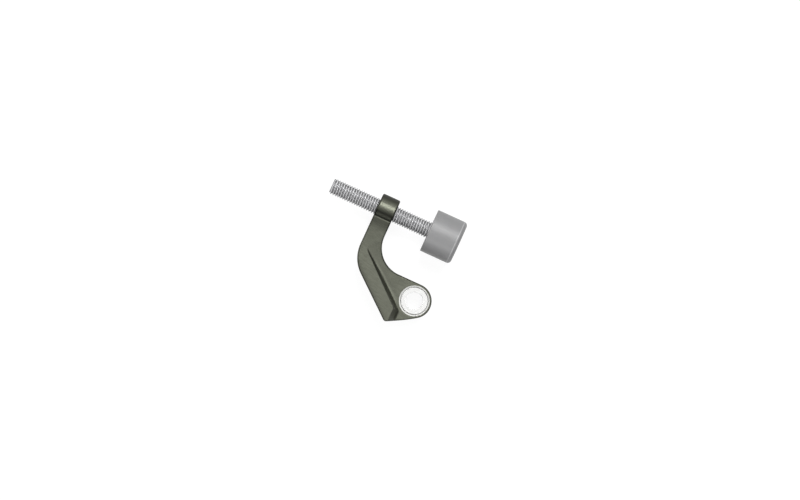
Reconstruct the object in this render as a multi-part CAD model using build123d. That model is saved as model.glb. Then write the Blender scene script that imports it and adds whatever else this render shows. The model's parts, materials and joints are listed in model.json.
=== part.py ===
from build123d import *
import os
from math import acos, atan2, ceil, cos, degrees, radians, sin, sqrt, tan

# Adjustable door stop that hangs on a door hinge's pin.
#
# A cast arm has a bushed eye for the hinge pin at one end and a tapped boss at the other.
# A threaded rod runs through the boss and carries a rubber bumper. A raised strip along the
# arm's back edge is the pad that bears on the door casing.
#
# Frame, in millimetres: the origin is the hinge pin's axis at the arm's flat underside,
# +Z runs up along the pin and +X runs along the rod towards the bumper.

# Hinge pin and the eye around it
pin_diameter = 7.94
pin_clearance = 0.10
bush_wall = 2.43
bush_mouth_chamfer = 0.30
bush_recess = 0.10
eye_wall = 1.75
eye_thickness = 6.0
eye_chamfer = 0.82
eye_foot_chamfer = 0.25

# Threaded rod
screw_diameter = 8.0
thread_pitch = 1.25
thread_depth_share = 0.6134
thread_crest_share = 0.125
thread_flank_angle = 30.0
screw_overhang = 23.8
screw_head_diameter = 13.0
screw_head_thickness = 2.5
screw_head_chamfer = 0.4

# Boss that the rod is screwed through
boss_wall = 2.9
boss_width = 8.9
boss_rise = 1.5
boss_clearance = 0.05
rod_offset = 33.4
neck_reach = 34.5

# Arm's outline, seen along the pin
back_bend_radius = 16.5
back_bend_offset = 14.0
throat_radius = 13.6
back_edge_angle = 39.3
lower_edge_radius = 86.2
lower_edge_angle = 54.7
corner_radius = 1.5
edge_radius = 0.72

# Raised strip and the scooped plate beside it
strip_width = 7.3
strip_edge_angle = 40.9
strip_end_inset = 1.3
strip_side_draft = 12.5
strip_end_draft = 25.5
strip_nose_radius = 1.0
scoop_angle = 19.0
scoop_start_angle = 4.0
scoop_crest_radius = 9.0
scoop_foot_radius = 28.0
scoop_cove_radius = 1.0

# Rubber bumper
bumper_diameter = 21.2
bumper_length = 15.5
bumper_gap = 18.0
bumper_front_radius = 1.8
bumper_back_radius = 0.35
bumper_head_depth = 6.0
bumper_clearance = 0.10

# Sizes worked out from the ones above
bush_bore_radius = pin_diameter / 2 + pin_clearance
bush_radius = bush_bore_radius + bush_wall
bush_length = eye_thickness - eye_chamfer - bush_recess
eye_radius = bush_radius + eye_wall
screw_radius = screw_diameter / 2
thread_depth = thread_pitch * thread_depth_share
boss_radius = screw_radius + boss_wall
arm_height = 2 * boss_radius - boss_rise

# Places worked out from the sizes
boss_left = -neck_reach
boss_right = boss_left + boss_width
rod_height = boss_radius
bumper_back = boss_right + bumper_gap
head_back = bumper_back + bumper_head_depth
screw_left = boss_left - screw_overhang

# Larger than the arm every way, for the bodies that cut it
reach = 4 * (rod_offset + neck_reach)
touch = 0.01


def polar(centre, distance, angle):
    """Give the point at a distance and angle in degrees from a centre, in plan."""
    return centre + Vector(distance * cos(radians(angle)), distance * sin(radians(angle)))


def at_height(point, height):
    """Lift a point of the plan to a height."""
    return Vector(point.X, point.Y, height)


# Points of the outline that several features share
bend_centre = Vector(boss_left + back_bend_radius, back_bend_offset)
throat_centre = Vector(boss_right + throat_radius, eye_radius + throat_radius)
back_edge_start = polar(bend_centre, back_bend_radius, 270 - back_edge_angle)
back_edge_direction = polar(Vector(), 1, -back_edge_angle)
lower_centre = polar(Vector(), lower_edge_radius - eye_radius, 180 - lower_edge_angle)


def back_corner():
    """Find where the straight back edge meets the long arc of the lower edge."""
    offset = back_edge_start - lower_centre
    along = offset.dot(back_edge_direction)
    distance = sqrt(along**2 - offset.length**2 + lower_edge_radius**2) - along
    return back_edge_start + back_edge_direction * distance


def arm_plan():
    """Draw the arm's outline from the neck's joint with the boss round to the eye and back."""
    corner = back_corner()
    corner_angle = degrees(atan2(corner.Y - lower_centre.Y, corner.X - lower_centre.X))
    neck_outer = Vector(boss_left, throat_centre.Y)
    neck_inner = Vector(boss_right, throat_centre.Y)
    edges = [
        Line(neck_outer, bend_centre - Vector(back_bend_radius, 0)),
        CenterArc(bend_centre, back_bend_radius, 180, 90 - back_edge_angle),
        Line(back_edge_start, corner),
        CenterArc(lower_centre, lower_edge_radius, corner_angle, -lower_edge_angle - corner_angle),
        CenterArc((0, 0), eye_radius, -lower_edge_angle, 90 + lower_edge_angle),
        Line((0, eye_radius), throat_centre - Vector(0, throat_radius)),
        CenterArc(throat_centre, throat_radius, 270, -90),
        Line(neck_inner, neck_outer),
    ]
    plan = make_face(edges)
    return fillet(plan.vertices().sort_by_distance(corner)[0], corner_radius)


def drafted(point, angle, draft):
    """Give the plane of a drafted wall: its top edge's point, its facing in plan and its draft."""
    tilt = radians(draft)
    facing = polar(Vector(), 1, angle) * cos(tilt) + Vector(0, 0, sin(tilt))
    return Plane(origin=at_height(point, arm_height), z_dir=facing)


def strip_block():
    """Make an oversize block whose drafted faces are the strip's inner side and its end."""
    side_point = back_edge_start + polar(Vector(), strip_width, 90 - back_edge_angle)
    side = drafted(side_point, 90 - strip_edge_angle, strip_side_draft)
    end = drafted(Vector(back_corner().X + strip_end_inset, 0), 0, strip_end_draft)
    block = split(Box(reach, reach, reach), bisect_by=side, keep=Keep.BOTTOM)
    block = split(block, bisect_by=end, keep=Keep.BOTTOM)
    nose = block.edges().filter_by(lambda edge: on_plane(edge, side) and on_plane(edge, end))
    return fillet(nose, strip_nose_radius), side, end


def on_plane(edge, plane, limit=touch):
    """Tell whether both ends and the middle of an edge lie within a limit of a plane."""
    return all(abs((edge @ t - plane.origin).dot(plane.z_dir)) < limit for t in (0, 0.5, 1))


def scoop_body():
    """Extrude the space above the plate: level with the arm's top, down a ramp, then flat."""
    down_strip = polar(Vector(), 1, -strip_edge_angle)
    start = polar(throat_centre, throat_radius, 180 + scoop_start_angle)
    crest_tangent = scoop_crest_radius * tan(radians(scoop_angle / 2))
    foot = (arm_height - eye_thickness) / tan(radians(scoop_angle))
    profile = make_face(
        Polyline(
            (-reach, arm_height),
            (0, arm_height),
            (foot, eye_thickness),
            (reach, eye_thickness),
            (reach, 2 * arm_height),
            (-reach, 2 * arm_height),
            close=True,
        )
    )
    profile = fillet(profile.vertices().sort_by_distance((0, arm_height))[0], scoop_crest_radius)
    profile = fillet(profile.vertices().sort_by_distance((foot, eye_thickness))[0], scoop_foot_radius)
    ramp = Plane(
        origin=start + down_strip * crest_tangent,
        x_dir=down_strip,
        z_dir=polar(Vector(), 1, -90 - strip_edge_angle),
    )
    return extrude(ramp * profile, reach, both=True)


def scoop_cutter():
    """Make the body that is cut from the arm to leave the strip standing beside a thin plate."""
    block, side, end = strip_block()
    cutter = scoop_body() - block
    low = cutter.edges().filter_by(lambda edge: edge.bounding_box().max.Z < arm_height + touch)
    near = strip_nose_radius
    feet = low.filter_by(lambda edge: on_plane(edge, side, near) or on_plane(edge, end, near))
    return fillet(feet, scoop_cove_radius)


def boss_body():
    """Extrude the side view of the barrel and the neck's root, tangent to the underside."""
    crown = arm_height - rod_height
    crease = sqrt(boss_radius**2 - crown**2)
    sweep = 270 - degrees(acos(crease / boss_radius))
    root = throat_centre.Y
    view = make_face(
        [
            Line((root, 0), (rod_offset, 0)),
            CenterArc((rod_offset, rod_height), boss_radius, -90, sweep),
            Line((rod_offset - crease, arm_height), (root, arm_height)),
            Line((root, arm_height), (root, 0)),
        ]
    )
    return extrude(Plane(origin=(boss_left, 0, 0), x_dir=(0, 1, 0), z_dir=(1, 0, 0)) * view, boss_width)


def is_side(face):
    """Tell whether a face is one of the casting's upright walls."""
    box = face.bounding_box()
    upright = face.geom_type in (GeomType.PLANE, GeomType.CYLINDER)
    return upright and abs(face.normal_at(face.center()).Z) < touch and box.size.Z > eye_thickness - touch


def round_edges(casting):
    """Round every edge between an upright wall and the top, the barrel or the underside."""
    walls = casting.faces().filter_by(is_side)
    wall_edges = [edge for wall in walls for edge in wall.edges()]
    rims = [edge for edge in wall_edges if sum(edge.is_same(other) for other in wall_edges) == 1]
    return fillet(rims, edge_radius)


def hole(radius, length, mouth, far_mouth):
    """Make a hole's body along +Z from the origin, with a chamfer at its start and its far end."""
    body = Cylinder(radius, length, align=(Align.CENTER, Align.CENTER, Align.MIN))
    low = Cone(radius + mouth, radius, mouth, align=(Align.CENTER, Align.CENTER, Align.MIN))
    high = Cone(radius, radius + far_mouth, far_mouth, align=(Align.CENTER, Align.CENTER, Align.MAX))
    return body + low + Pos(0, 0, length) * high


def make_arm():
    """Cast the arm, then drill the eye and the boss."""
    casting = extrude(arm_plan(), arm_height) - scoop_cutter() + boss_body()
    casting = round_edges(casting)
    along_rod = Plane(origin=(boss_left, rod_offset, rod_height), z_dir=(1, 0, 0))
    rod_hole = hole(screw_radius + boss_clearance, boss_width, thread_depth, thread_depth)
    pin_hole = hole(bush_radius, eye_thickness, eye_foot_chamfer, eye_chamfer)
    return casting - along_rod * rod_hole - pin_hole


def make_bush():
    """Turn the plastic bush that lines the eye, with its upper edges broken."""
    bush = Cylinder(bush_radius, bush_length, align=(Align.CENTER, Align.CENTER, Align.MIN))
    bush = bush - Cylinder(bush_bore_radius, 2 * bush_length)
    return chamfer(bush.edges().group_by(Axis.Z)[-1], bush_mouth_chamfer)


def turned_along_rod(profile):
    """Revolve a profile drawn along the rod, as distance along X against radius."""
    lathe = Plane(origin=(0, rod_offset, rod_height), x_dir=(1, 0, 0), z_dir=(0, 0, 1))
    return revolve(lathe * profile, Axis((0, rod_offset, rod_height), (1, 0, 0)))


def thread_lines(turn):
    """Draw one turn of the thread's four edges, as helices about Z: the crest's, then the root's."""
    crest = thread_pitch * thread_crest_share / 2
    root = crest + thread_depth * tan(radians(thread_flank_angle))
    root_radius = screw_radius - thread_depth
    starts = [(-crest, screw_radius), (crest, screw_radius), (root, root_radius), (thread_pitch - root, root_radius)]
    return [
        Pos(0, 0, start + turn * thread_pitch) * Edge.make_helix(thread_pitch, thread_pitch, radius)
        for start, radius in starts
    ]


def thread_end(lines, following):
    """Close the thread at one turn with a spiral stair about the axis and the stair's upright riser."""
    low = lines[0] @ 0
    high = following[0] @ 0
    axis = Line((0, 0, low.Z), (0, 0, high.Z))
    riser = Polyline(axis @ 0, *(line @ 0 for line in lines), high, axis @ 1, close=True)
    return [Face.make_surface_from_curves(axis.edge(), lines[0]), Face(Wire(riser.edges()))]


def threaded_bar(turns):
    """Sew a bar with a right-hand thread about Z from one helical strip per crest, flank and root."""
    lines = [thread_lines(turn) for turn in range(turns + 2)]
    faces = thread_end(lines[0], lines[1]) + thread_end(lines[turns], lines[turns + 1])
    for turn in range(turns):
        strips = lines[turn] + [lines[turn + 1][0]]
        faces += [Face.make_surface_from_curves(low, high) for low, high in zip(strips, strips[1:])]
    return Solid(Shell(faces))


def make_screw():
    """Turn the rod and the head that holds the bumper, and cut the rod's thread."""
    shank = make_face(
        Polyline(
            (screw_left, 0),
            (screw_left, screw_radius - thread_depth),
            (screw_left + thread_depth, screw_radius),
            (head_back, screw_radius),
            (head_back, 0),
            close=True,
        )
    )
    head_front = head_back + screw_head_thickness
    head_radius = screw_head_diameter / 2
    head = make_face(
        Polyline(
            (head_back, 0),
            (head_back, head_radius - screw_head_chamfer),
            (head_back + screw_head_chamfer, head_radius),
            (head_front - screw_head_chamfer, head_radius),
            (head_front, head_radius - screw_head_chamfer),
            (head_front, 0),
            close=True,
        )
    )
    spare = 1.5 * thread_pitch
    turns = ceil((head_back - screw_left + 2 * spare) / thread_pitch)
    bar = Plane(origin=(screw_left - spare, rod_offset, rod_height), z_dir=(1, 0, 0)) * threaded_bar(turns)
    return (turned_along_rod(shank) & bar) + turned_along_rod(head)


def make_bumper():
    """Mould the rubber bumper around the rod's head, with a rounded front rim."""
    bumper_front = bumper_back + bumper_length
    radius = bumper_diameter / 2
    shank_radius = screw_radius + bumper_clearance
    cavity_radius = screw_head_diameter / 2 + bumper_clearance
    cavity_back = head_back - bumper_clearance
    cavity_front = head_back + screw_head_thickness + bumper_clearance
    profile = make_face(
        Polyline(
            (bumper_back, shank_radius),
            (bumper_back, radius),
            (bumper_front, radius),
            (bumper_front, 0),
            (cavity_front, 0),
            (cavity_front, cavity_radius),
            (cavity_back, cavity_radius),
            (cavity_back, shank_radius),
            close=True,
        )
    )
    corners = profile.vertices()
    profile = fillet(corners.sort_by_distance((bumper_front, radius))[0], bumper_front_radius)
    corners = profile.vertices()
    profile = fillet(corners.sort_by_distance((bumper_back, radius))[0], bumper_back_radius)
    return turned_along_rod(profile)


pieces = {
    "arm": make_arm(),
    "pin_bush": make_bush(),
    "adjusting_screw": make_screw(),
    "bumper": make_bumper(),
}

os.makedirs("parts", exist_ok=True)
for name, piece in pieces.items():
    piece.label = name
    export_step(piece, f"parts/{name}.step")
    print(f"{name}: {piece.volume:.1f} mm3")
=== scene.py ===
"""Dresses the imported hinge-pin door stop: its finishes, the floor, the lights and the camera.

Every length is in metres in the CAD model's frame: the origin is the hinge pin's axis at the arm's
flat underside, +Z runs up along the pin, +X along the rod towards the bumper and +Y from the pin
towards the rod.
"""

import json
import logging
from dataclasses import dataclass
from enum import Enum
from math import cos, pi, radians, sin
from typing import NamedTuple

import bpy
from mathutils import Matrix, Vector

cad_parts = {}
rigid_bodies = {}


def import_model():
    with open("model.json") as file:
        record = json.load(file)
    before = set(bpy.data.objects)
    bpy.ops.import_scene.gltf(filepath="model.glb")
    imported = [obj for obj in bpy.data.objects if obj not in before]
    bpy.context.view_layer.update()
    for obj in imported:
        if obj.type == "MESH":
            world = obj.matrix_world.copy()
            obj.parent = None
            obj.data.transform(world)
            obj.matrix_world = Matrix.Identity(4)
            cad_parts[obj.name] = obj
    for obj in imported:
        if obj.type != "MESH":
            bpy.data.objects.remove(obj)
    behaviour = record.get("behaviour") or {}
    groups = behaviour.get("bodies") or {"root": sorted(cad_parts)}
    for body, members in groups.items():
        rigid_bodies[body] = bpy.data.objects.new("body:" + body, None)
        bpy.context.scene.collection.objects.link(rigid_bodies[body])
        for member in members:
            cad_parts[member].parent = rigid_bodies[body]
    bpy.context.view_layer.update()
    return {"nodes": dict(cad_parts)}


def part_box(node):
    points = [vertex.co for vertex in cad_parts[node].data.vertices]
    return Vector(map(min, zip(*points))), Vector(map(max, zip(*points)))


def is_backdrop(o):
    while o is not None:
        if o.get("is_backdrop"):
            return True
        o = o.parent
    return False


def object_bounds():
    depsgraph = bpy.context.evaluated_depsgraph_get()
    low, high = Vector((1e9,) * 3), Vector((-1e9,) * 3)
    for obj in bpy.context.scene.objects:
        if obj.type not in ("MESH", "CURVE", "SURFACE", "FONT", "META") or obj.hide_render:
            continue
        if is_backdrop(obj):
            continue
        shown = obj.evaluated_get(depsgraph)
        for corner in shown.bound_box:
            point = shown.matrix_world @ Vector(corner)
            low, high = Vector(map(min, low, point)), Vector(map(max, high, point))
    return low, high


LOG = logging.getLogger("door_stop")
MM = 0.001
PIN = (0.0, 0.0, 0.0)

Colour = tuple[float, float, float]
Direction = tuple[float, float, float]
Socket = bpy.types.NodeSocket
Feed = Socket | float | tuple[float, ...]


class Effect(Enum):
    """Surface effects that several finishes share, each built once as a node group."""

    GRAIN = "fine grain"
    STREAKS = "brushed streaks"
    FACING = "share facing an axis"
    AXIS = "place about an axis"
    BAND = "soft band"
    # Edge mask that the arm uses for wear and for a painted highlight along edges and creases.
    WEAR = "worn edges"


class Axis(Enum):
    """The frame's axes that finishes refer to."""

    X = (1.0, 0.0, 0.0)
    Y = (0.0, 1.0, 0.0)
    Z = (0.0, 0.0, 1.0)


class Ramp(NamedTuple):
    """A smooth change of one number along another.

    Attributes:
        low: Where the change starts.
        high: Where it ends.
        first: The number at low and before.
        last: The number at high and after.
    """

    low: float
    high: float
    first: float = 0.0
    last: float = 1.0


class Span(NamedTuple):
    """A stretch with soft ends.

    Attributes:
        low: Where it starts in full.
        high: Where it ends in full.
        fade: How far it fades out beyond either end.
    """

    low: float
    high: float
    fade: float


class Grain(NamedTuple):
    """An even grain.

    Attributes:
        size: Size of one cell.
        contrast: How far the tone swings about 1 from cell to cell.
    """

    size: float
    contrast: float


class Streak(NamedTuple):
    """A streak that brushing or rolling leaves.

    Attributes:
        heading: Its direction in plan, as an angle from +X.
        length: Its length.
        width: Its width.
    """

    heading: float
    length: float
    width: float


class Sketch:
    """Draws the nodes of one shader tree.

    Attributes:
        tree: The node tree that the nodes are added to.
    """

    def __init__(self, tree: bpy.types.NodeTree) -> None:
        """Keep the tree to draw in."""
        self.tree = tree

    def node(self, kind: str, **settings: object) -> bpy.types.Node:
        """Add a node.

        Args:
            kind: The node's Blender type.
            settings: Values of the node's own properties.

        Returns:
            The new node.
        """
        made = self.tree.nodes.new(kind)
        for name, value in settings.items():
            setattr(made, name, value)
        return made

    def feed(self, socket: Socket, value: Feed) -> None:
        """Link a value into a socket, or set it where it is a plain number or tuple.

        Args:
            socket: The input that is fed.
            value: The value. A tuple of three gets a full alpha where the socket holds a colour.
        """
        if isinstance(value, Socket):
            self.tree.links.new(value, socket)
        elif isinstance(value, tuple) and len(socket.default_value) == len(value) + 1:
            socket.default_value = (*value, 1.0)
        else:
            socket.default_value = value

    def math(self, operation: str, *values: Feed, clamp: bool = False) -> Socket:
        """Work out a number from others.

        Args:
            operation: The Math node's operation.
            values: Its inputs in order.
            clamp: Whether the result is kept between 0 and 1.

        Returns:
            The result's socket.
        """
        made = self.node("ShaderNodeMath", operation=operation, use_clamp=clamp)
        for socket, value in zip(made.inputs, values):
            self.feed(socket, value)
        return made.outputs[0]

    def product(self, first: Feed, *others: Feed) -> Socket:
        """Multiply numbers.

        Args:
            first: The first number.
            others: The numbers that it is multiplied by, in order.

        Returns:
            The product's socket.
        """
        made = first
        for other in others:
            made = self.math("MULTIPLY", made, other)
        return made

    def vector(self, operation: str, *values: Feed, number: bool = False) -> Socket:
        """Work out a vector, or a number such as a length, from vectors.

        Args:
            operation: The Vector Math node's operation.
            values: Its inputs in order.
            number: Whether the result is a number.

        Returns:
            The result's socket.
        """
        made = self.node("ShaderNodeVectorMath", operation=operation)
        for socket, value in zip(made.inputs, values):
            self.feed(socket, value)
        return made.outputs["Value" if number else "Vector"]

    def dot(self, first: Feed, second: Feed) -> Socket:
        """Give how far one vector reaches along another, as their dot product."""
        return self.vector("DOT_PRODUCT", first, second, number=True)

    def between(self, value: Feed, low: Feed, high: Feed, first: Feed = 0.0, last: Feed = 1.0) -> Socket:
        """Turn a number smoothly from one value to another.

        Args:
            value: The number.
            low: Where the change starts.
            high: Where it ends.
            first: The result at low and before.
            last: The result at high and after.

        Returns:
            The result's socket.
        """
        made = self.node("ShaderNodeMapRange", interpolation_type="SMOOTHSTEP")
        names = ("Value", "From Min", "From Max", "To Min", "To Max")
        for name, given in zip(names, (value, low, high, first, last)):
            self.feed(made.inputs[name], given)
        return made.outputs["Result"]

    def mix(self, share: Feed, first: Feed, second: Feed) -> Socket:
        """Blend two colours.

        Args:
            share: How much of the second colour shows.
            first: The first colour.
            second: The second colour.

        Returns:
            The blended colour's socket.
        """
        made = self.node("ShaderNodeMix", data_type="RGBA")
        # The node repeats its sockets' names for numbers, vectors and colours, so places pick them.
        sockets = (made.inputs[0], made.inputs[6], made.inputs[7])
        for socket, value in zip(sockets, (share, first, second)):
            self.feed(socket, value)
        return made.outputs[2]

    def scaled(self, value: Feed, share: Feed) -> Socket:
        """Scale a colour or a vector by a number.

        Args:
            value: The colour or vector.
            share: The number.

        Returns:
            The scaled one's socket.
        """
        made = self.node("ShaderNodeVectorMath", operation="SCALE")
        self.feed(made.inputs["Vector"], value)
        self.feed(made.inputs["Scale"], share)
        return made.outputs["Vector"]

    def noise(self, place: Feed, detail: float, roughness: float) -> Socket:
        """Give fractal noise from 0 to 1 with one cell to each unit of its place.

        Args:
            place: The place.
            detail: How many finer layers are added.
            roughness: How strong each finer layer is, as a share of the one before.

        Returns:
            The noise's socket.
        """
        made = self.node("ShaderNodeTexNoise", noise_dimensions="3D")
        self.feed(made.inputs["Vector"], place)
        self.feed(made.inputs["Scale"], 1.0)
        self.feed(made.inputs["Detail"], detail)
        self.feed(made.inputs["Roughness"], roughness)
        return made.outputs["Fac"]

    def place(self) -> Socket:
        """Give the place on the piece, in its own frame, in metres."""
        return self.node("ShaderNodeTexCoord").outputs["Object"]

    def effect(self, effect: Effect, *values: Feed) -> bpy.types.Node:
        """Place a shared effect's group and feed its inputs in order.

        Args:
            effect: The effect.
            values: Its inputs.

        Returns:
            The group node.
        """
        made = self.node("ShaderNodeGroup", node_tree=effect_group(effect))
        for socket, value in zip(made.inputs, values):
            self.feed(socket, value)
        return made

    def band(self, value: Feed, span: Span) -> Socket:
        """Give the mask of a number that lies in a span."""
        return self.effect(Effect.BAND, value, *span).outputs["Mask"]


class EffectGroup(Sketch):
    """Draws the inside of one shared effect.

    Attributes:
        inside: The group's inputs, seen from inside.
        outside: The group's outputs, seen from inside.
    """

    def __init__(self, effect: Effect, inputs: dict[str, str], outputs: dict[str, str]) -> None:
        """Make an empty group.

        Args:
            effect: The effect that names it.
            inputs: Its input sockets, each name with Float, Vector or Color.
            outputs: Its output sockets, likewise.
        """
        super().__init__(bpy.data.node_groups.new(effect.value, "ShaderNodeTree"))
        for in_out, sockets in (("INPUT", inputs), ("OUTPUT", outputs)):
            for name, kind in sockets.items():
                self.tree.interface.new_socket(name=name, in_out=in_out, socket_type=f"NodeSocket{kind}")
        self.inside = self.node("NodeGroupInput").outputs
        self.outside = self.node("NodeGroupOutput").inputs


def grain_group() -> bpy.types.NodeTree:
    """Draw fine grain: noise of a given size, as a height and as a colour factor about 1.

    Returns:
        The group.
    """
    group = EffectGroup(
        Effect.GRAIN,
        {"Place": "Vector", "Size": "Float", "Contrast": "Float"},
        {"Height": "Float", "Factor": "Float"},
    )
    place, size, contrast = (group.inside[i] for i in range(3))
    cells = group.scaled(place, group.math("DIVIDE", 1.0, size))
    height = group.noise(cells, detail=3.0, roughness=0.6)
    centred = group.math("SUBTRACT", height, 0.5)
    group.feed(group.outside["Height"], height)
    group.feed(group.outside["Factor"], group.math("MULTIPLY_ADD", centred, contrast, 1.0))
    return group.tree


def streaks_group() -> bpy.types.NodeTree:
    """Draw brushed streaks: noise drawn out along one heading in plan.

    Returns:
        The group.
    """
    group = EffectGroup(
        Effect.STREAKS,
        {"Place": "Vector", "Heading": "Float", "Length": "Float", "Width": "Float"},
        {"Height": "Float"},
    )
    place, heading, length, width = (group.inside[i] for i in range(4))
    turn = group.node("ShaderNodeVectorRotate", rotation_type="Z_AXIS")
    group.feed(turn.inputs["Vector"], place)
    group.feed(turn.inputs["Angle"], group.math("MULTIPLY", heading, -1.0))
    size = group.node("ShaderNodeCombineXYZ")
    for socket, value in zip(size.inputs, (length, width, width)):
        group.feed(socket, value)
    cells = group.vector("DIVIDE", turn.outputs[0], size.outputs[0])
    group.feed(group.outside["Height"], group.noise(cells, detail=4.0, roughness=0.65))
    return group.tree


def facing_group() -> bpy.types.NodeTree:
    """Draw how much of the surface's facing lies along an axis, from 0 to 1.

    Returns:
        The group.
    """
    group = EffectGroup(Effect.FACING, {"Axis": "Vector"}, {"Share": "Float"})
    normal = group.node("ShaderNodeTexCoord").outputs["Normal"]
    along = group.dot(normal, group.inside["Axis"])
    group.feed(group.outside["Share"], group.math("ABSOLUTE", along))
    return group.tree


def axis_group() -> bpy.types.NodeTree:
    """Draw the place about an axis: the distance from it and the distance along it.

    Returns:
        The group.
    """
    group = EffectGroup(
        Effect.AXIS,
        {"Place": "Vector", "Centre": "Vector", "Axis": "Vector"},
        {"Radius": "Float", "Along": "Float"},
    )
    place, centre, axis = (group.inside[i] for i in range(3))
    offset = group.vector("SUBTRACT", place, centre)
    across = group.vector("CROSS_PRODUCT", offset, axis)
    group.feed(group.outside["Radius"], group.vector("LENGTH", across, number=True))
    group.feed(group.outside["Along"], group.dot(offset, axis))
    return group.tree


def band_group() -> bpy.types.NodeTree:
    """Draw a mask that is 1 between two values and fades to 0 beyond them.

    Returns:
        The group.
    """
    group = EffectGroup(
        Effect.BAND,
        {"Value": "Float", "Low": "Float", "High": "Float", "Fade": "Float"},
        {"Mask": "Float"},
    )
    value, low, high, fade = (group.inside[i] for i in range(4))
    rise = group.between(value, group.math("SUBTRACT", low, fade), low)
    fall = group.between(value, high, group.math("ADD", high, fade), 1.0, 0.0)
    group.feed(group.outside["Mask"], group.product(rise, fall))
    return group.tree


def wear_group() -> bpy.types.NodeTree:
    """Draw a mask of the edges, from how a rounded normal departs from the true one.

    Returns:
        The group.
    """
    group = EffectGroup(Effect.WEAR, {"Radius": "Float", "Gain": "Float"}, {"Mask": "Float"})
    rounded = group.node("ShaderNodeBevel", samples=4)
    group.feed(rounded.inputs["Radius"], group.inside["Radius"])
    normal = group.node("ShaderNodeNewGeometry").outputs["Normal"]
    bent = group.math("SUBTRACT", 1.0, group.dot(rounded.outputs[0], normal))
    group.feed(group.outside["Mask"], group.math("MULTIPLY", bent, group.inside["Gain"], clamp=True))
    return group.tree


EFFECT_DRAWINGS = {
    Effect.GRAIN: grain_group,
    Effect.STREAKS: streaks_group,
    Effect.FACING: facing_group,
    Effect.AXIS: axis_group,
    Effect.BAND: band_group,
    Effect.WEAR: wear_group,
}


def effect_group(effect: Effect) -> bpy.types.NodeTree:
    """Give a shared effect's node group, drawn the first time it is asked for."""
    return bpy.data.node_groups.get(effect.value) or EFFECT_DRAWINGS[effect]()


class Surface(Sketch):
    """Draws one material around a Principled shader.

    Attributes:
        material: The material.
        shader: Its Principled shader.
    """

    def __init__(self, name: str) -> None:
        """Make the material with a plain shader.

        Args:
            name: The material's name.
        """
        self.material = bpy.data.materials.new(name)
        self.material.use_nodes = True
        super().__init__(self.material.node_tree)
        self.shader = self.tree.nodes["Principled BSDF"]

    def set(self, **values: Feed) -> None:
        """Feed the shader's sockets, each named in lower case with _ for a space."""
        for name, value in values.items():
            self.feed(self.shader.inputs[name.replace("_", " ").title().replace("Ior", "IOR")], value)

    def bump(self, height: Feed, depth: float) -> None:
        """Give the shader a bumped normal.

        Args:
            height: The height, from 0 to 1.
            depth: The real height of 1, in metres.
        """
        made = self.node("ShaderNodeBump")
        self.feed(made.inputs["Height"], height)
        self.feed(made.inputs["Distance"], depth)
        self.feed(self.shader.inputs["Normal"], made.outputs[0])


@dataclass(frozen=True)
class ArmForms:
    """Where the arm's forms lie, as far as its finish follows them.

    Attributes:
        inward: Direction in plan that the strip's inner wall faces.
        across_foot: Direction in plan across that wall's foot, which isn't quite along its crest.
        foot: Where the wall's foot lies, measured from the pin in the direction across_foot.
        before_barrel: Share that lies before the barrel, by the distance from the pin towards the rod.
        low: Share that belongs to the plate and not to the higher neck, by the height over the
            underside.
    """

    inward: Direction = (0.655, 0.756, 0.0)
    across_foot: Direction = (0.624, 0.781, 0.0)
    foot: float = -8.35 * MM
    before_barrel: Ramp = Ramp(28.9 * MM, 29.2 * MM, 1.0, 0.0)
    low: Ramp = Ramp(6.5 * MM, 8.0 * MM, 1.0, 0.0)


class ArmSurface(Surface):
    """Draws the arm's material, with the measures of a point that several masks read.

    Attributes:
        forms: Where the arm's forms lie.
        point: The point's place.
        towards_rod: Its distance from the pin towards the rod.
        height: Its height over the underside.
        normal: Direction that the surface faces there.
        level: How nearly the surface faces straight up or down, from 0 to 1.
        leaning: How nearly it faces the rod's side, from -1 to 1.
        before_barrel: Mask of what lies before the barrel.
        low: Mask of what belongs to the plate.
    """

    def __init__(self, name: str, forms: ArmForms) -> None:
        """Make the material and measure the point.

        Args:
            name: The material's name.
            forms: Where the arm's forms lie.
        """
        super().__init__(name)
        self.forms = forms
        self.point = self.place()
        split = self.node("ShaderNodeSeparateXYZ")
        self.feed(split.inputs[0], self.point)
        self.towards_rod = split.outputs["Y"]
        self.height = split.outputs["Z"]
        self.normal = self.node("ShaderNodeTexCoord").outputs["Normal"]
        self.level = self.effect(Effect.FACING, Axis.Z.value).outputs["Share"]
        self.leaning = self.dot(self.normal, Axis.Y.value)
        self.before_barrel = self.between(self.towards_rod, *forms.before_barrel)
        self.low = self.between(self.height, *forms.low)


@dataclass(frozen=True)
class PaintedFootLight:
    """A painted light line on the plate beside the foot of the strip's inner wall, which lifts the shade
    there.

    Attributes:
        onset: Distance to either side of the foot over which the line begins.
        width: Distance from the foot at which it has faded out.
        stretch: Where the painted light is strongest, by the distance from the pin towards the rod.
        height: Share that takes the painted light, by the height over the underside.
    """

    onset: float = 0.1 * MM
    width: float = 1.75 * MM
    stretch: Span = Span(1.0 * MM, 6.0 * MM, 6.0 * MM)
    height: Ramp = Ramp(2.0 * MM, 3.0 * MM)

    def mask(self, draw: ArmSurface) -> Socket:
        """Draw the line's mask.

        Args:
            draw: The arm's material.

        Returns:
            The mask's socket.
        """
        foot = draw.forms.foot
        across = draw.dot(draw.point, draw.forms.across_foot)
        return draw.product(
            draw.between(across, foot - self.onset, foot + self.onset),
            draw.between(across, foot, foot + self.width, 1.0, 0.0),
            draw.band(draw.towards_rod, self.stretch),
            draw.between(draw.height, *self.height),
        )


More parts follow.
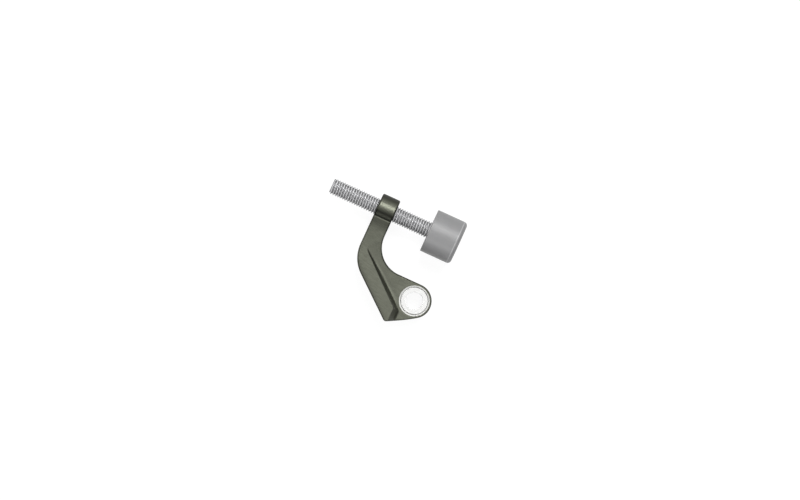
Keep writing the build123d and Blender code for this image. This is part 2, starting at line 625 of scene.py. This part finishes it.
@dataclass(frozen=True)
class PaintedLightAndShade:
    """How bright the plating is from place to place, where 1 is its plain colour: painted light and
    shade.

    Attributes:
        neck: Painted shade along the neck, by the distance from the pin towards the rod.
        crease: Painted shade just before the barrel, by the same distance.
        border: Painted shade along the strip's back edge, by the distance from the pin in the direction
        that the strip's inner wall faces.
        line: A painted highlight line along the crease before the barrel.
        line_gain: What the painted highlight adds to the tone there.
        barrel: Share of the painted shade lifted off the barrel, by the same distance.
        barrel_shade_lift: How much of the painted shade is lifted off the barrel.
        foot: The painted light line beside the strip's wall.
        foot_gain: What the painted light adds there.
    """

    neck: Ramp = Ramp(8.0 * MM, 24.0 * MM, 1.06, 0.84)
    crease: Ramp = Ramp(22.0 * MM, 27.6 * MM, 1.0, 0.57)
    border: Ramp = Ramp(-17.4 * MM, -14.8 * MM, 0.64, 1.0)
    line: Span = Span(28.65 * MM, 28.95 * MM, 0.15 * MM)
    line_gain: float = 0.3
    barrel: Ramp = Ramp(28.3 * MM, 28.8 * MM)
    barrel_shade_lift: float = 0.18
    foot: PaintedFootLight = PaintedFootLight()
    foot_gain: float = 0.75

    def share(self, draw: ArmSurface) -> Socket:
        """Draw the painted light and shade.

        Args:
            draw: The arm's material.

        Returns:
            The tone's socket.
        """
        # Painted shade: darker along the neck towards the barrel, just before it and along the strip's
        # back edge.
        tone = draw.product(
            draw.between(draw.towards_rod, *self.neck),
            draw.between(draw.towards_rod, *self.crease),
            draw.between(draw.dot(draw.point, draw.forms.inward), *self.border),
        )
        # Painted light: a highlight line at the crease, a lift on the barrel and a light line beside the
        # wall's foot.
        brighter = (
            (draw.band(draw.towards_rod, self.line), self.line_gain),
            (draw.between(draw.towards_rod, *self.barrel), self.barrel_shade_lift),
            (self.foot.mask(draw), self.foot_gain),
        )
        for mask, gain in brighter:
            tone = draw.math("MULTIPLY_ADD", mask, gain, tone)
        return tone


@dataclass(frozen=True)
class PatinaAndRimShade:
    """The dull patina that brushing leaves on the rims and walls, and painted shade on the plate's rims.

    Attributes:
        wall: Share of patina, by how level the surface is.
        rim: Painted shade that hides the glint on the plate's rim, by how nearly it faces the rod's
            side.
        crest: Share of the strip's crest that is rubbed clean, by how nearly it faces inward.
        crest_gain: How much more level the clean crest counts.
    """

    wall: Ramp = Ramp(0.55, 0.9, 1.0, 0.0)
    rim: Ramp = Ramp(0.1, 0.25)
    crest: Ramp = Ramp(0.1, 0.3)
    crest_gain: float = 0.25

    def mask(self, draw: ArmSurface) -> Socket:
        """Draw the mask of the patina and of the painted shade on the rims.

        Args:
            draw: The arm's material.

        Returns:
            The mask's socket.
        """
        inward = draw.between(draw.dot(draw.normal, draw.forms.inward), *self.crest)
        crest = draw.product(draw.math("SUBTRACT", inward, draw.low, clamp=True), draw.before_barrel)
        wall = draw.between(draw.math("MULTIPLY_ADD", crest, self.crest_gain, draw.level), *self.wall)
        # Painted shade on the plate's rims that face the rod's side, which hides their glint.
        rim = draw.product(draw.between(draw.leaning, *self.rim), draw.low)
        return draw.math("MAXIMUM", wall, rim)


@dataclass(frozen=True)
class BarrelPaintedShade:
    """Painted shade on the barrel's side towards the eye.

    Attributes:
        side: Share that takes the painted shade, by how nearly the barrel faces the rod's side.
        tone: How bright the painted shade leaves the plating, as a share.
    """

    side: Ramp = Ramp(-0.3, 0.05, 1.0, 0.0)
    tone: float = 0.22

    def darken(self, draw: ArmSurface, colour: Socket) -> Socket:
        """Paint the shade on the plating's colour in the hollow.

        Args:
            draw: The arm's material.
            colour: The colour without the painted shade.

        Returns:
            The colour's socket.
        """
        side = draw.between(draw.leaning, *self.side)
        mask = draw.math("SUBTRACT", side, draw.before_barrel, clamp=True)
        return draw.mix(mask, colour, draw.scaled(colour, self.tone))


@dataclass(frozen=True)
class EdgeWearAndHighlight:
    """Edges brightened by wear and by a painted highlight, apart from those that the patina covers.

    Attributes:
        colour: The colour of the metal where wear shows, which the painted highlight takes too.
        radius: How far from an edge the wear and the painted highlight reach.
        gain: How soon an edge takes that colour in full.
        share: How much of that colour shows.
    """

    colour: Colour = (0.2, 0.205, 0.17)
    radius: float = 0.25 * MM
    gain: float = 2.0
    share: float = 0.5

    def brighten(self, draw: ArmSurface, colour: Socket, patina: Socket) -> Socket:
        """Brighten the plating's colour along the edges.

        Args:
            draw: The arm's material.
            colour: The colour without wear.
            patina: The patina's mask.

        Returns:
            The colour's socket.
        """
        # Edge mask for wear, which also paints a highlight along edges and creases.
        wear = draw.effect(Effect.WEAR, self.radius, self.gain).outputs["Mask"]
        wear_and_highlight = draw.math("SUBTRACT", wear, patina, clamp=True)
        return draw.mix(draw.product(wear_and_highlight, self.share), colour, self.colour)


@dataclass(frozen=True)
class MachinedRing:
    """The bright chamfer machined round the eye's bore.

    Attributes:
        radius: Its distance from the pin's axis.
        height: Share that is machined, by the height over the underside, which is left as cast.
        slope: How level the chamfer is, apart from the flat face and the bore's wall.
    """

    radius: Span = Span(6.68 * MM, 7.3 * MM, 0.06 * MM)
    height: Ramp = Ramp(4.9 * MM, 5.1 * MM)
    slope: Span = Span(0.3, 0.93, 0.04)

    def mask(self, draw: ArmSurface) -> Socket:
        """Draw the chamfer's mask.

        Args:
            draw: The arm's material.

        Returns:
            The mask's socket.
        """
        eye = draw.effect(Effect.AXIS, draw.point, PIN, Axis.Z.value)
        return draw.product(
            draw.band(eye.outputs["Radius"], self.radius),
            draw.between(draw.height, *self.height),
            draw.band(draw.level, self.slope),
        )


@dataclass(frozen=True)
class AntiqueNickel:
    """Antique nickel plate, dark on the walls and brushed back on what faces up.

    Attributes:
        brushed: Colour of the brushed faces.
        patina: Colour of the dull patina, which the painted shade on the rims takes too.
        cut: Colour of the machined chamfer.
        grazing: Tint of what is seen at a grazing angle.
        streak: One brushed streak.
        lines: Tone of the streaks, by their height.
        cloud: Cloudy tone of the plating.
        grain: Fine grain of the plating.
        forms: Where the arm's forms lie.
        tone: The painted light and shade on the plating, from place to place.
        dull: Where the patina is left, and the painted shade on the plate's rims.
        hollow: The painted shade on the barrel's side towards the eye.
        wear_and_highlight: The edges' wear and painted highlight.
        ring: The machined chamfer.
        gloss: Roughness of the streaks, by their height.
        patina_roughness: Roughness that the patina adds.
        cut_roughness: Roughness that the machining adds.
        tarnish: How much less metallic the patina and the machined chamfer are.
        depth: Depth of the streaks.
        grain_depth: Depth of the grain, as a share of theirs.
    """

    brushed: Colour = (0.134, 0.139, 0.111)
    patina: Colour = (0.044, 0.046, 0.034)
    cut: Colour = (0.80, 0.80, 0.78)
    grazing: Colour = (0.2, 0.2, 0.18)
    streak: Streak = Streak(radians(-8.0), 3.2 * MM, 0.11 * MM)
    lines: Ramp = Ramp(0.3, 0.7, 0.80, 1.20)
    cloud: Grain = Grain(4.5 * MM, 0.2)
    grain: Grain = Grain(0.25 * MM, 0.25)
    forms: ArmForms = ArmForms()
    tone: PaintedLightAndShade = PaintedLightAndShade()
    dull: PatinaAndRimShade = PatinaAndRimShade()
    hollow: BarrelPaintedShade = BarrelPaintedShade()
    wear_and_highlight: EdgeWearAndHighlight = EdgeWearAndHighlight()
    ring: MachinedRing = MachinedRing()
    gloss: Ramp = Ramp(0.25, 0.75, 0.30, 0.42)
    patina_roughness: float = 0.12
    cut_roughness: float = 0.2
    tarnish: float = 0.8
    depth: float = 0.002 * MM
    grain_depth: float = 0.4

    def material(self) -> bpy.types.Material:
        """Draw the material.

        Returns:
            The material.
        """
        draw = ArmSurface("antique nickel", self.forms)
        streaks = draw.effect(Effect.STREAKS, draw.point, *self.streak).outputs["Height"]
        cloud = draw.effect(Effect.GRAIN, draw.point, *self.cloud).outputs["Factor"]
        grain = draw.effect(Effect.GRAIN, draw.point, *self.grain)
        # The tone carries the painted light and shade of the plating, besides its streaks and clouds.
        tone = draw.product(self.tone.share(draw), draw.between(streaks, *self.lines), cloud)
        # This mask holds the patina and the painted shade on the plate's rims.
        patina = self.dull.mask(draw)
        machined = self.ring.mask(draw)

        brushed = draw.scaled(self.brushed, draw.product(tone, grain.outputs["Factor"]))
        colour = draw.mix(patina, brushed, draw.scaled(self.patina, tone))
        # Painted shade on the barrel's side towards the eye.
        colour = self.hollow.darken(draw, colour)
        # Wear along the edges, with a painted highlight along edges and creases.
        colour = self.wear_and_highlight.brighten(draw, colour, patina)
        colour = draw.mix(machined, colour, self.cut)

        rough = draw.between(streaks, *self.gloss)
        rough = draw.math("ADD", rough, draw.product(patina, self.patina_roughness))
        rough = draw.math("ADD", rough, draw.product(machined, self.cut_roughness))
        covered = draw.math("MAXIMUM", machined, patina)
        metallic = draw.math("MULTIPLY_ADD", covered, -self.tarnish, 1.0)
        draw.set(metallic=metallic, base_color=colour, roughness=rough, specular_tint=self.grazing)
        height = draw.math("ADD", streaks, draw.product(grain.outputs["Height"], self.grain_depth))
        draw.bump(height, self.depth)
        return draw.material


@dataclass(frozen=True)
class MouldedNylon:
    """White moulded nylon with a faint mould grain and painted light on the bore's walls.

    Attributes:
        colour: Its colour.
        wall: Its colour on the bore's walls, lighter than the plain colour as painted light.
        flat: Share of the plain colour, by how level the surface is.
        gloss: Its roughness, likewise.
        grain: The mould's grain.
        depth: The grain's depth.
    """

    colour: Colour = (0.76, 0.76, 0.75)
    wall: Colour = (0.97, 0.97, 0.96)
    flat: Ramp = Ramp(0.7, 0.95)
    gloss: Ramp = Ramp(0.0, 1.0, 0.34, 0.46)
    grain: Grain = Grain(0.22 * MM, 0.05)
    depth: float = 0.004 * MM

    def material(self) -> bpy.types.Material:
        """Draw the material.

        Returns:
            The material.
        """
        draw = Surface("moulded nylon")
        grain = draw.effect(Effect.GRAIN, draw.place(), *self.grain)
        level = draw.effect(Effect.FACING, Axis.Z.value).outputs["Share"]
        # Painted light: the bore's walls take a lighter colour than the faces.
        colour = draw.mix(draw.between(level, *self.flat), self.wall, self.colour)
        colour = draw.scaled(colour, grain.outputs["Factor"])
        draw.set(base_color=colour, roughness=draw.between(level, *self.gloss))
        draw.bump(grain.outputs["Height"], self.depth)
        return draw.material


@dataclass(frozen=True)
class BrightZinc:
    """Bright zinc plate on a rolled thread, painted shade in the grooves, rubbed duller on the crests.

    Attributes:
        crest: Colour of the crests.
        groove: Colour in the grooves, darker than the crests as painted shade.
        grazing: Tint of what is seen at a grazing angle.
        streak: One rolling mark.
        grain: The plating's grain.
        gloss: Roughness from the groove to the crest.
        streak_roughness: Roughness that the rolling marks add.
        depth: Depth of the marks and the grain.
    """

    crest: Colour = (0.83, 0.83, 0.84)
    groove: Colour = (0.33, 0.33, 0.335)
    grazing: Colour = (0.15, 0.15, 0.15)
    streak: Streak = Streak(radians(90.0), 0.5 * MM, 0.06 * MM)
    grain: Grain = Grain(0.12 * MM, 0.2)
    gloss: Ramp = Ramp(0.0, 1.0, 0.45, 0.6)
    streak_roughness: float = 0.08
    depth: float = 0.001 * MM

    def material(self, centre: Vector, root: float, tip: float) -> bpy.types.Material:
        """Draw the material.

        Args:
            centre: A point on the rod's axis.
            root: The thread's radius at the bottom of its groove.
            tip: Its radius at the crest.

        Returns:
            The material.
        """
        draw = Surface("bright zinc")
        place = draw.place()
        axis = draw.effect(Effect.AXIS, place, tuple(centre), Axis.X.value)
        crest = draw.between(axis.outputs["Radius"], root, tip)
        grain = draw.effect(Effect.GRAIN, place, *self.grain)
        streaks = draw.effect(Effect.STREAKS, place, *self.streak).outputs["Height"]
        # Painted shade: the colour darkens from the crest down into the groove.
        colour = draw.scaled(draw.mix(crest, self.groove, self.crest), grain.outputs["Factor"])
        marks = draw.product(streaks, self.streak_roughness)
        rough = draw.math("ADD", draw.between(crest, *self.gloss), marks)
        draw.set(metallic=1.0, base_color=colour, roughness=rough, specular_tint=self.grazing)
        draw.bump(draw.math("ADD", streaks, grain.outputs["Height"]), self.depth)
        return draw.material


@dataclass(frozen=True)
class SatinRubber:
    """Satin grey rubber with a fine skin and a painted highlight line near the front end.

    Attributes:
        colour: The rubber's colour.
        line: Colour of the painted highlight line.
        line_inset: Distance of the highlight line's middle from the front end.
        line_width: The highlight line's width.
        line_fade: How far the line fades out to either side.
        cloud: Cloudy tone of the rubber.
        grain: The skin's grain.
        roughness: Roughness in the grain's pits.
        grain_roughness: Roughness that its peaks add.
        sheen: Strength of its plain reflection, where 0.5 is usual.
        depth: The grain's depth.
    """

    colour: Colour = (0.226, 0.226, 0.228)
    line: Colour = (0.36, 0.36, 0.362)
    line_inset: float = 1.75 * MM
    line_width: float = 0.35 * MM
    line_fade: float = 0.12 * MM
    cloud: Grain = Grain(3.0 * MM, 0.10)
    grain: Grain = Grain(0.16 * MM, 0.10)
    roughness: float = 0.40
    grain_roughness: float = 0.12
    sheen: float = 0.8
    depth: float = 0.012 * MM

    def material(self, centre: Vector, front: float) -> bpy.types.Material:
        """Draw the material.

        Args:
            centre: A point on the bumper's axis.
            front: Distance of the bumper's front end from that point.

        Returns:
            The material.
        """
        draw = Surface("satin rubber")
        place = draw.place()
        axis = draw.effect(Effect.AXIS, place, tuple(centre), Axis.X.value)
        # Painted highlight: a light line round the bumper near its front end.
        start = front - self.line_inset - self.line_width / 2
        line = draw.band(axis.outputs["Along"], Span(start, start + self.line_width, self.line_fade))
        cloud = draw.effect(Effect.GRAIN, place, *self.cloud).outputs["Factor"]
        grain = draw.effect(Effect.GRAIN, place, *self.grain)
        tone = draw.product(cloud, grain.outputs["Factor"])
        colour = draw.scaled(draw.mix(line, self.colour, self.line), tone)
        height = grain.outputs["Height"]
        rough = draw.math("MULTIPLY_ADD", height, self.grain_roughness, self.roughness)
        draw.set(base_color=colour, roughness=rough, specular_ior_level=self.sheen)
        draw.bump(height, self.depth)
        return draw.material


def dress(piece: bpy.types.Object, material: bpy.types.Material) -> None:
    """Give a piece its material and log what it got.

    Args:
        piece: The piece.
        material: Its finish.
    """
    if piece.material_slots:
        for held in piece.material_slots:
            held.material = material
    else:
        piece.data.materials.append(material)
    LOG.info("%s: %s, %d faces", piece.name, material.name, len(piece.data.polygons))


@dataclass
class CastArm:
    """The cast arm and the bush pressed into its eye.

    Attributes:
        arm_node: The arm's CAD node.
        bush_node: The bush's CAD node.
    """

    arm_node: str = "arm"
    bush_node: str = "pin_bush"

    def build(self, nodes: dict[str, bpy.types.Object]) -> None:
        """Dress the arm and its bush."""
        dress(nodes[self.arm_node], AntiqueNickel().material())
        dress(nodes[self.bush_node], MouldedNylon().material())


@dataclass
class ThreadedRod:
    """The threaded rod with its disc head.

    Attributes:
        node: The rod's CAD node.
        radius: The thread's outer radius.
        depth: The thread's depth.
    """

    node: str = "adjusting_screw"
    radius: float = 4.0 * MM
    depth: float = 0.767 * MM

    def build(self, nodes: dict[str, bpy.types.Object]) -> None:
        """Dress the rod.

        Args:
            nodes: The CAD nodes by name.
        """
        low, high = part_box(self.node)
        finish = BrightZinc().material((low + high) / 2, self.radius - self.depth, self.radius)
        dress(nodes[self.node], finish)


@dataclass
class Bumper:
    """The rubber bumper on the rod's head.

    Attributes:
        node: The bumper's CAD node.
    """

    node: str = "bumper"

    def build(self, nodes: dict[str, bpy.types.Object]) -> None:
        """Dress the bumper.

        Args:
            nodes: The CAD nodes by name.
        """
        low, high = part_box(self.node)
        centre = (low + high) / 2
        finish = SatinRubber().material(centre, high.x - centre.x)
        dress(nodes[self.node], finish)


@dataclass(frozen=True)
class Softbox:
    """A square soft lamp that looks at the part.

    Attributes:
        name: Its name.
        tilt: Its direction from straight up, in degrees.
        heading: Its direction in plan, in degrees from +X.
        side: The length of its side.
        radiance: How bright its face is, where 1 is a white card in plain light.
        distance: Its distance from the part.
    """

    name: str
    tilt: float
    heading: float
    side: float
    radiance: float
    distance: float = 1.2

    def hang(self, target: Vector) -> None:
        """Hang the lamp and aim it.

        Args:
            target: The point that it looks at.
        """
        lamp = bpy.data.lights.new(self.name, "AREA")
        lamp.shape = "SQUARE"
        lamp.size = self.side
        lamp.energy = self.radiance * pi * self.side**2
        lamp.use_shadow = True
        tilt, heading = radians(self.tilt), radians(self.heading)
        away = Vector((sin(tilt) * cos(heading), sin(tilt) * sin(heading), cos(tilt)))
        hung = bpy.data.objects.new(self.name, lamp)
        hung.location = target + away * self.distance
        hung.rotation_euler = away.to_track_quat("Z", "Y").to_euler()
        hung.visible_camera = False
        bpy.context.scene.collection.objects.link(hung)


@dataclass
class Studio:
    """The pale floor, the soft lights and the camera.

    Attributes:
        floor_side: The floor's side.
        floor_colour: The floor's colour.
        floor_grain: The floor's faint grain.
        floor_roughness: The floor's roughness.
        floor_glow: Light that the floor adds where the camera or a reflection sees it.
        sky: The surroundings' brightness, each at the sine of its height over the horizon.
        lens: The camera's lens, in millimetres.
        sensor: The camera's sensor width, in millimetres.
        sight: How far the camera sees.
        pixel: The real width of one pixel of the photograph.
        photo: The photograph's width and height, in pixels.
        pin: The hinge pin's axis in the photograph, in pixels.
        roll: How far the rod's direction is turned in the photograph, in degrees.
        subject_height: Height over the arm's underside at which the pixel is that wide.
    """

    floor_side: float = 40.0
    floor_colour: float = 0.16
    floor_grain: Grain = Grain(1.5 * MM, 0.02)
    floor_roughness: float = 0.9
    floor_glow: float = 0.90
    sky: tuple[tuple[float, float], ...] = (
        (0.0, 0.75),
        (0.06, 0.75),
        (0.13, 0.14),
        (0.5, 0.14),
        (0.85, 0.5),
    )
    lens: float = 200.0
    sensor: float = 36.0
    sight: float = 100.0
    pixel: float = 0.4735 * MM
    photo: tuple[int, int] = (800, 500)
    pin: tuple[float, float] = (414.3, 301.0)
    roll: float = 24.7
    subject_height: float = 9.0 * MM

    def lamps(self) -> list[Softbox]:
        """List the lamps.

        Returns:
            The lamps.
        """
        return [
            Softbox("key", tilt=33.5, heading=90.0, side=0.56, radiance=9.8),
            Softbox("far side", tilt=72.0, heading=90.0, side=0.5, radiance=2.0),
            Softbox("near side", tilt=50.0, heading=-92.0, side=0.36, radiance=8.0),
            Softbox("end", tilt=75.0, heading=180.0, side=0.4, radiance=3.0),
            Softbox("front fill", tilt=38.0, heading=-38.0, side=0.5, radiance=1.2),
            Softbox("overhead", tilt=4.0, heading=-60.0, side=1.3, radiance=0.5, distance=1.6),
        ]

    def build(self) -> None:
        """Lay the floor, hang the lamps and place the camera."""
        low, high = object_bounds()
        for lamp in self.lamps():
            lamp.hang((low + high) / 2)
        self.lay_floor(low.z)
        self.surround()
        self.place_camera()

    def lay_floor(self, level: float) -> None:
        """Lay the floor.

        Args:
            level: The height of its top.
        """
        half = self.floor_side / 2
        data = bpy.data.meshes.new("floor")
        edge = [(-half, -half, level), (half, -half, level), (half, half, level), (-half, half, level)]
        data.from_pydata(edge, [], [(0, 1, 2, 3)])
        data.materials.append(self.floor_material())
        floor = bpy.data.objects.new("floor", data)
        bpy.context.scene.collection.objects.link(floor)
        floor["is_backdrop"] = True

    def floor_material(self) -> bpy.types.Material:
        """Draw the floor's material, which shows white and keeps the part's shadow.

        Returns:
            The material.
        """
        draw = Surface("pale floor")
        grain = draw.effect(Effect.GRAIN, draw.place(), *self.floor_grain).outputs["Factor"]
        colour = draw.scaled((self.floor_colour,) * 3, grain)
        draw.set(base_color=colour, roughness=self.floor_roughness, specular_ior_level=0.0)
        seen = draw.node("ShaderNodeLightPath").outputs
        direct = draw.math("MAXIMUM", seen["Is Camera Ray"], seen["Is Glossy Ray"])
        shown = draw.math("MAXIMUM", direct, seen["Is Transmission Ray"])
        glow = draw.product(shown, self.floor_glow)
        draw.set(emission_color=(1.0, 1.0, 1.0), emission_strength=glow)
        return draw.material

    def surround(self) -> None:
        """Paint the surroundings: pale at the horizon, dark above it and lighter overhead."""
        world = bpy.data.worlds.new("studio")
        world.use_nodes = True
        bpy.context.scene.world = world
        draw = Sketch(world.node_tree)
        split = draw.node("ShaderNodeSeparateXYZ")
        draw.feed(split.inputs[0], draw.node("ShaderNodeTexCoord").outputs["Generated"])
        ramp = draw.node("ShaderNodeValToRGB")
        stops = ramp.color_ramp.elements
        while len(stops) < len(self.sky):
            stops.new(1.0)
        for stop, (height, level) in zip(stops, self.sky):
            stop.position = height
            stop.color = (level, level, level, 1.0)
        draw.feed(ramp.inputs[0], split.outputs["Z"])
        draw.feed(world.node_tree.nodes["Background"].inputs["Color"], ramp.outputs[0])

    def place_camera(self) -> None:
        """Look straight down the hinge pin, with the photograph's framing and roll."""
        data = bpy.data.cameras.new("camera")
        data.lens = self.lens
        data.sensor_width = self.sensor
        data.clip_end = self.sight
        width, height = self.photo
        right = (width / 2 - self.pin[0]) * self.pixel
        up = (self.pin[1] - height / 2) * self.pixel
        turn = radians(self.roll)
        x = right * cos(turn) - up * sin(turn)
        y = right * sin(turn) + up * cos(turn)
        distance = width * self.pixel * self.lens / self.sensor
        camera = bpy.data.objects.new("camera", data)
        camera.location = (x, y, distance + self.subject_height)
        camera.rotation_euler = (0.0, 0.0, turn)
        bpy.context.scene.collection.objects.link(camera)
        bpy.context.scene.camera = camera


def main() -> None:
    """Load the frame, dress and build every piece, and light the scene."""
    logging.basicConfig(level=logging.INFO, format="%(name)s: %(message)s")
    for left_over in list(bpy.data.objects):
        bpy.data.objects.remove(left_over)
    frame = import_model()
    for assembly in (CastArm(), ThreadedRod(), Bumper()):
        assembly.build(frame["nodes"])
    Studio().build()
    bpy.context.scene.view_settings.view_transform = "Standard"
    LOG.info("built")


if __name__ == "__main__":
    main()
